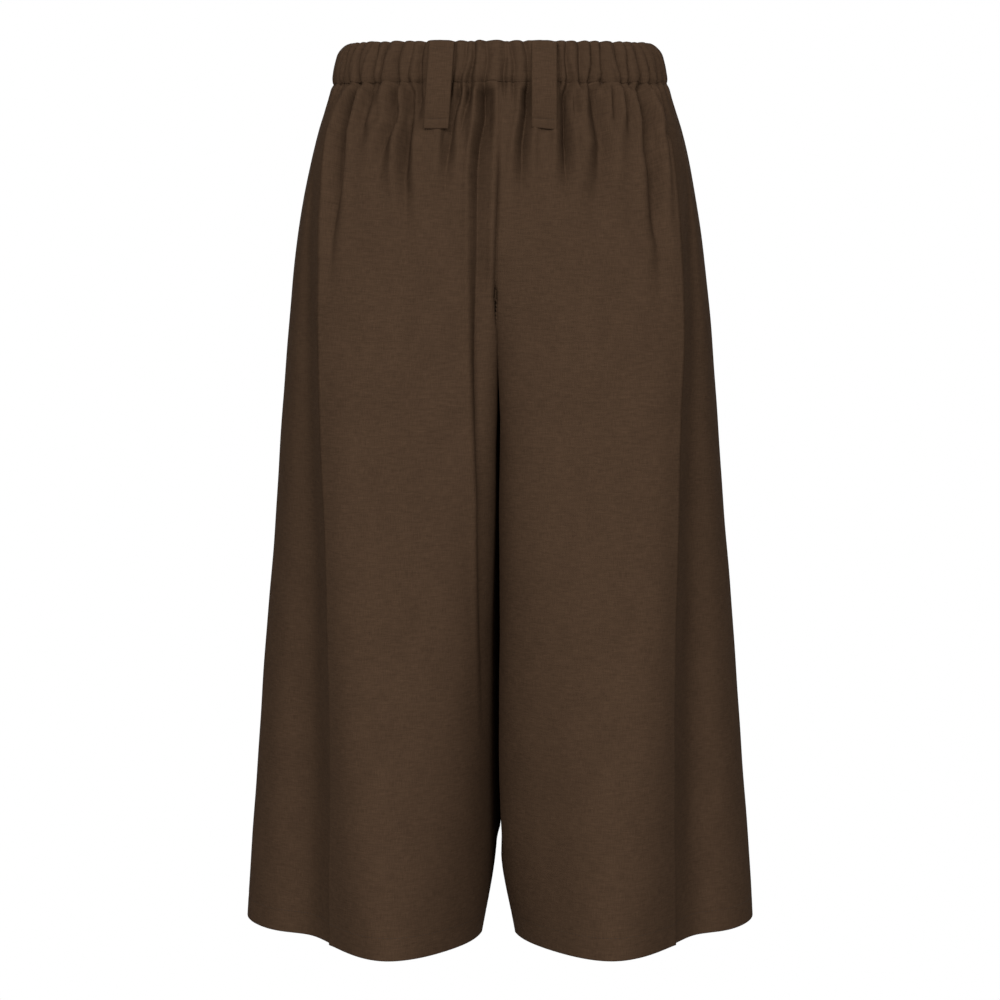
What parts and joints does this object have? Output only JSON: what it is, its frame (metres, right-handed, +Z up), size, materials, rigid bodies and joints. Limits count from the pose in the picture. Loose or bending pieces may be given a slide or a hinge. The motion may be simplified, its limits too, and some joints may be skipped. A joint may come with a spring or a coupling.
{
  "type": "culottes",
  "caption": "Wide calf-length culottes, filled out as if worn: pull-on gathered waistband, belt loops at the back, open A-line legs with hanging flutes.",
  "frame": {"origin": "centre of the waist opening, half-way up the waistband, where the wearer's waist holds the garment", "axes": "+Z up from hem to waist, -Y out of the wearer's back, +Y out of the front, +X towards the wearer's right"},
  "size_m": [0.421, 0.3484, 0.72],
  "materials": {
    "cloth": "matt dark brown twill, closely woven, with a faint heather",
    "band_cloth": "the same twill, gathered over elastic",
    "loop_cloth": "the same twill, doubled and pressed flat"
  },
  "bodies": {
    "root": {"back_right": "cloth", "back_left": "cloth", "front_right": "cloth", "front_left": "cloth", "waistband": "band_cloth", "belt_loop_left": "loop_cloth", "belt_loop_right": "loop_cloth"}
  },
  "joints": []
}
